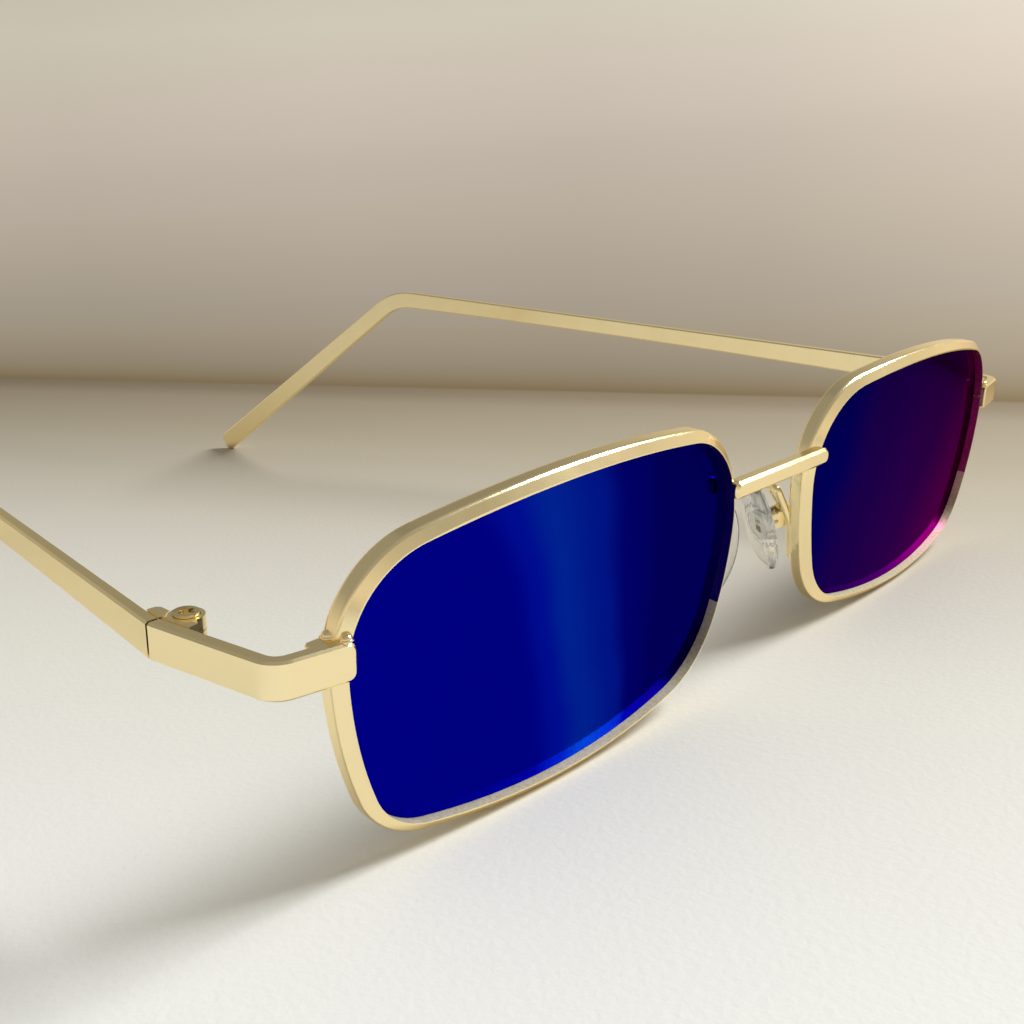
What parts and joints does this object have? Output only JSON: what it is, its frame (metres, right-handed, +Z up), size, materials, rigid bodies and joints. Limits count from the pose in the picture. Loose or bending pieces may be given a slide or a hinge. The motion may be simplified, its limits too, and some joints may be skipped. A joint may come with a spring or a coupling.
{
  "type": "narrow rectangle sunglasses",
  "caption": "Metal sunglasses with narrow rounded-rectangle mirrored lenses, a straight bridge bar, silicone nose pads on wire arms and flat temples that fold on screwed hinges.",
  "frame": {"origin": "on the resting surface, under the middle of the open frame's box", "axes": "+Z up from the surface the rims and temple tips stand on, +Y from the lenses to the temple tips, +X to the wearer's left"},
  "size_m": [0.1314, 0.1726, 0.0343],
  "materials": {
    "gold_plated_metal": "polished pale gold plating",
    "blue_mirror_lens": "deep blue to violet mirror coating",
    "screw_steel": "turned steel, lightly gilded",
    "pad_core_plastic": "clear hard plastic",
    "clear_silicone": "clear soft silicone"
  },
  "bodies": {
    "front": {"bridge_bar": "gold_plated_metal", "rim_left": "gold_plated_metal", "rim_right": "gold_plated_metal", "lens_left": "blue_mirror_lens", "lens_right": "blue_mirror_lens", "end_piece_left": "gold_plated_metal", "end_piece_right": "gold_plated_metal", "lock_upper_left": "gold_plated_metal", "lock_upper_right": "gold_plated_metal", "lock_lower_left": "gold_plated_metal", "lock_lower_right": "gold_plated_metal", "lock_screw_left": "screw_steel", "lock_screw_right": "screw_steel", "hinge_front_leaf_left": "gold_plated_metal", "hinge_front_leaf_right": "gold_plated_metal", "hinge_screw_left": "screw_steel", "hinge_screw_right": "screw_steel", "pad_arm_left": "gold_plated_metal", "pad_arm_right": "gold_plated_metal", "pad_screw_left": "screw_steel", "pad_screw_right": "screw_steel"},
    "temple_left_body": {"temple_left": "gold_plated_metal", "hinge_temple_leaf_left": "gold_plated_metal"},
    "pad_left_body": {"nose_pad_left": "clear_silicone", "pad_insert_left": "pad_core_plastic"},
    "temple_right_body": {"temple_right": "gold_plated_metal", "hinge_temple_leaf_right": "gold_plated_metal"},
    "pad_right_body": {"nose_pad_right": "clear_silicone", "pad_insert_right": "pad_core_plastic"}
  },
  "joints": [
    {"name": "temple_fold_left", "type": "hinge", "parent": "front", "child": "temple_left_body", "pos_m": [0.06265, -0.0697, 0.02129], "axis": [0, -0.116, 0.9932], "range_deg": [0, 85]},
    {"name": "temple_fold_right", "type": "hinge", "parent": "front", "child": "temple_right_body", "pos_m": [-0.06265, -0.0697, 0.02129], "axis": [0, 0.116, -0.9932], "range_deg": [0, 79]},
    {"name": "pad_rock_left", "type": "hinge", "parent": "front", "child": "pad_left_body", "pos_m": [0.00694, -0.07929, 0.01443], "axis": [-0.4353, -0.8566, -0.2771], "range_deg": [-10, 10]},
    {"name": "pad_rock_right", "type": "hinge", "parent": "front", "child": "pad_right_body", "pos_m": [-0.00694, -0.07929, 0.01443], "axis": [-0.4353, 0.8566, 0.2771], "range_deg": [-10, 10]}
  ]
}
